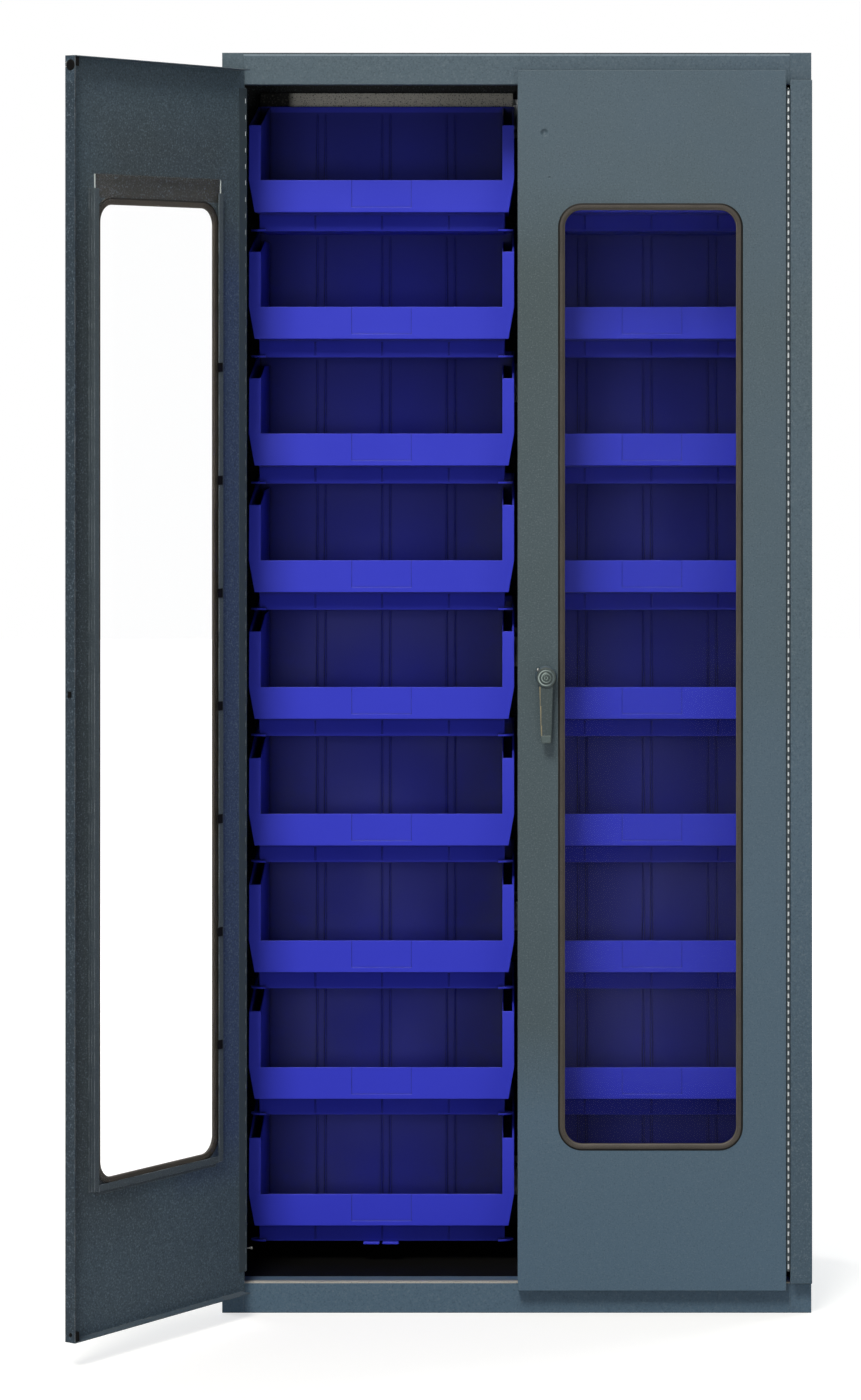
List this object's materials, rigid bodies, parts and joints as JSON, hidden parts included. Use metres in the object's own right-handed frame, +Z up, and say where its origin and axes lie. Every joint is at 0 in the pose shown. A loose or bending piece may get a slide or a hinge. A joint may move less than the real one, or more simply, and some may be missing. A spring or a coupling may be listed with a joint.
{
  "type": "parts bin cabinet",
  "caption": "Free-standing steel cabinet with two hinged glazed doors, a latch handle and two columns of hopper-front bins hung on louvred panels",
  "frame": {"origin": "on the floor under the middle of the cabinet", "axes": "X right, Y from front to back, Z up; the doors are at the front, -Y"},
  "size_m": [1.1201, 0.8096, 1.9558],
  "materials": {
    "paint": "slate grey baked enamel, fine texture",
    "inner_paint": "the same enamel inside, in shade",
    "zinc": "zinc-plated steel",
    "trim": "extruded black rubber",
    "bumper": "moulded rubber",
    "clear": "clear polycarbonate sheet",
    "bin": "royal blue moulded polypropylene, semi-gloss",
    "lock": "nickel-plated lock face"
  },
  "bodies": {
    "root": {"left_side_panel": "paint", "right_side_panel": "paint", "back_panel": "paint", "top_panel": "paint", "floor_panel": "paint", "front_header": "paint", "front_sill": "paint", "left_jamb": "paint", "right_jamb": "paint", "floor_channel": "paint", "left_louvred_panel": "paint", "right_louvred_panel": "paint", "panel_rails": "zinc", "panel_screws": "zinc", "left_frame_leaf": "zinc", "right_frame_leaf": "zinc", "left_hinge_pin": "zinc", "right_hinge_pin": "zinc"},
    "left_door": {"left_door_pan": "paint", "left_door_leaf": "zinc", "left_window_trim": "trim", "left_clear_sheet": "clear", "left_glazing_channels": "paint", "left_door_bumpers": "bumper"},
    "right_door": {"right_door_pan": "paint", "right_door_leaf": "zinc", "right_window_trim": "trim", "right_clear_sheet": "clear", "right_glazing_channels": "paint", "right_door_bumpers": "bumper", "handle_housing": "paint", "rod_guides": "zinc"},
    "handle": {"handle_lever": "paint", "handle_spindle": "zinc", "latch_cam": "zinc", "cam_nut": "zinc"},
    "lock": {"lock_plug": "lock"},
    "upper_rod": {"upper_latch_rod": "zinc"},
    "lower_rod": {"lower_latch_rod": "zinc"},
    "bin_l1": {"bin_l1": "bin"},
    "bin_l2": {"bin_l2": "bin"},
    "bin_l3": {"bin_l3": "bin"},
    "bin_l4": {"bin_l4": "bin"},
    "bin_l5": {"bin_l5": "bin"},
    "bin_l6": {"bin_l6": "bin"},
    "bin_l7": {"bin_l7": "bin"},
    "bin_l8": {"bin_l8": "bin"},
    "bin_l9": {"bin_l9": "bin"},
    "bin_r1": {"bin_r1": "bin"},
    "bin_r2": {"bin_r2": "bin"},
    "bin_r3": {"bin_r3": "bin"},
    "bin_r4": {"bin_r4": "bin"},
    "bin_r5": {"bin_r5": "bin"},
    "bin_r6": {"bin_r6": "bin"},
    "bin_r7": {"bin_r7": "bin"},
    "bin_r8": {"bin_r8": "bin"},
    "bin_r9": {"bin_r9": "bin"}
  },
  "joints": [
    {"name": "left_door_hinge", "type": "hinge", "parent": "root", "child": "left_door", "pos_m": [-0.4203, -0.2286, 1], "axis": [0, 0, 1], "range_deg": [-49.6, 125.4]},
    {"name": "right_door_hinge", "type": "hinge", "parent": "root", "child": "right_door", "pos_m": [0.4203, -0.2286, 1], "axis": [0, 0, 1], "range_deg": [0, 175]},
    {"name": "handle_turn", "type": "hinge", "parent": "right_door", "child": "handle", "pos_m": [0.0454, -0.2406, 0.9888], "axis": [0, -1, 0], "range_deg": [0, 90]},
    {"name": "upper_rod_slide", "type": "slide", "parent": "right_door", "child": "upper_rod", "axis": [0, 0, 1], "range_m": [0, 0.0198]},
    {"name": "lower_rod_slide", "type": "slide", "parent": "right_door", "child": "lower_rod", "axis": [0, 0, -1], "range_m": [0, 0.0198]},
    {"name": "lock_turn", "type": "hinge", "parent": "handle", "child": "lock", "pos_m": [0.0454, -0.2406, 0.9888], "axis": [0, -1, 0], "range_deg": [0, 90]},
    {"name": "bin_l1_lift", "type": "slide", "parent": "root", "child": "bin_l1", "axis": [0, 0, 1], "range_m": [0, 0.012]},
    {"name": "bin_l2_lift", "type": "slide", "parent": "root", "child": "bin_l2", "axis": [0, 0, 1], "range_m": [0, 0.012]},
    {"name": "bin_l3_lift", "type": "slide", "parent": "root", "child": "bin_l3", "axis": [0, 0, 1], "range_m": [0, 0.012]},
    {"name": "bin_l4_lift", "type": "slide", "parent": "root", "child": "bin_l4", "axis": [0, 0, 1], "range_m": [0, 0.012]},
    {"name": "bin_l5_lift", "type": "slide", "parent": "root", "child": "bin_l5", "axis": [0, 0, 1], "range_m": [0, 0.012]},
    {"name": "bin_l6_lift", "type": "slide", "parent": "root", "child": "bin_l6", "axis": [0, 0, 1], "range_m": [0, 0.012]},
    {"name": "bin_l7_lift", "type": "slide", "parent": "root", "child": "bin_l7", "axis": [0, 0, 1], "range_m": [0, 0.012]},
    {"name": "bin_l8_lift", "type": "slide", "parent": "root", "child": "bin_l8", "axis": [0, 0, 1], "range_m": [0, 0.012]},
    {"name": "bin_l9_lift", "type": "slide", "parent": "root", "child": "bin_l9", "axis": [0, 0, 1], "range_m": [0, 0.012]},
    {"name": "bin_r1_lift", "type": "slide", "parent": "root", "child": "bin_r1", "axis": [0, 0, 1], "range_m": [0, 0.012]},
    {"name": "bin_r2_lift", "type": "slide", "parent": "root", "child": "bin_r2", "axis": [0, 0, 1], "range_m": [0, 0.012]},
    {"name": "bin_r3_lift", "type": "slide", "parent": "root", "child": "bin_r3", "axis": [0, 0, 1], "range_m": [0, 0.012]},
    {"name": "bin_r4_lift", "type": "slide", "parent": "root", "child": "bin_r4", "axis": [0, 0, 1], "range_m": [0, 0.012]},
    {"name": "bin_r5_lift", "type": "slide", "parent": "root", "child": "bin_r5", "axis": [0, 0, 1], "range_m": [0, 0.012]},
    {"name": "bin_r6_lift", "type": "slide", "parent": "root", "child": "bin_r6", "axis": [0, 0, 1], "range_m": [0, 0.012]},
    {"name": "bin_r7_lift", "type": "slide", "parent": "root", "child": "bin_r7", "axis": [0, 0, 1], "range_m": [0, 0.012]},
    {"name": "bin_r8_lift", "type": "slide", "parent": "root", "child": "bin_r8", "axis": [0, 0, 1], "range_m": [0, 0.012]},
    {"name": "bin_r9_lift", "type": "slide", "parent": "root", "child": "bin_r9", "axis": [0, 0, 1], "range_m": [0, 0.012]}
  ],
  "couplings": [
    {"joint": "upper_rod_slide", "follows": "handle_turn", "m_per_rad": 0.0126},
    {"joint": "lower_rod_slide", "follows": "handle_turn", "m_per_rad": 0.0126}
  ]
}
